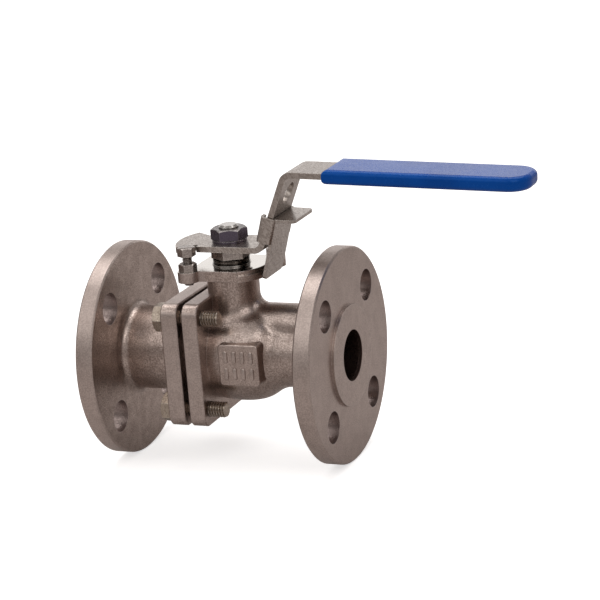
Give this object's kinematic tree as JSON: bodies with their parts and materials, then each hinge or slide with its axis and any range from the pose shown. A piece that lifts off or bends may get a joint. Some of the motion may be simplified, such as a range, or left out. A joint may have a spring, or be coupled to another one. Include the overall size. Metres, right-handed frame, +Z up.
{
  "type": "flanged ball valve",
  "caption": "Two-piece flanged stainless ball valve with a quarter-turn lever, sleeved grip, screw stops and a sliding lock plate",
  "frame": {"origin": "centre of the ball, where the flow line meets the stem axis", "axes": "+X along the flow line towards the body flange and the open lever, +Z up the stem, +Y completes the right-handed frame"},
  "size_m": [0.225, 0.108, 0.1506],
  "materials": {
    "cast_stainless": "bead-blasted investment casting",
    "bolt_steel": "plain stainless fastener",
    "polished_steel": "polished sphere",
    "machined_steel": "turned stainless",
    "ptfe": "white filled PTFE",
    "dark_spring_steel": "oiled spring steel",
    "nut_steel": "dull stainless",
    "sheet_steel": "tumbled stainless sheet",
    "blue_vinyl": "dip-moulded vinyl"
  },
  "bodies": {
    "housing": {"body_gasket": "ptfe", "gland_bush": "machined_steel", "joint_bolt_1": "bolt_steel", "joint_bolt_2": "bolt_steel", "joint_bolt_3": "bolt_steel", "joint_bolt_4": "bolt_steel", "packing_ring_1": "ptfe", "packing_ring_2": "ptfe", "packing_ring_3": "ptfe", "seat_body_side": "ptfe", "seat_tail_side": "ptfe", "stop_nut_front": "bolt_steel", "stop_nut_rear": "bolt_steel", "stop_screw_front": "bolt_steel", "stop_screw_rear": "bolt_steel", "tail_piece": "cast_stainless", "thrust_washer": "ptfe", "valve_body": "cast_stainless"},
    "lever_and_stem": {"stem": "machined_steel", "spring_washer_lower": "dark_spring_steel", "spring_washer_upper": "dark_spring_steel", "gland_nut": "nut_steel", "tab_washer": "sheet_steel", "lever": "sheet_steel", "lever_washer": "nut_steel", "lever_nut": "nut_steel", "grip_sleeve": "blue_vinyl"},
    "ball": {"ball": "polished_steel"},
    "lock_slide": {"lock_slide": "sheet_steel"}
  },
  "joints": [
    {"name": "lever_turn", "type": "hinge", "parent": "housing", "child": "lever_and_stem", "pos_m": [0, 0, 0.055], "axis": [0, 0, 1], "range_deg": [-90, 0]},
    {"name": "ball_turn", "type": "hinge", "parent": "housing", "child": "ball", "pos_m": [0, 0, 0], "axis": [0, 0, 1], "range_deg": [-90, 0]},
    {"name": "lock_lift", "type": "slide", "parent": "lever_and_stem", "child": "lock_slide", "axis": [0.3811, 0, 0.9245], "range_m": [0, 0.008]}
  ],
  "couplings": [
    {"joint": "ball_turn", "follows": "lever_turn", "ratio": 1}
  ]
}
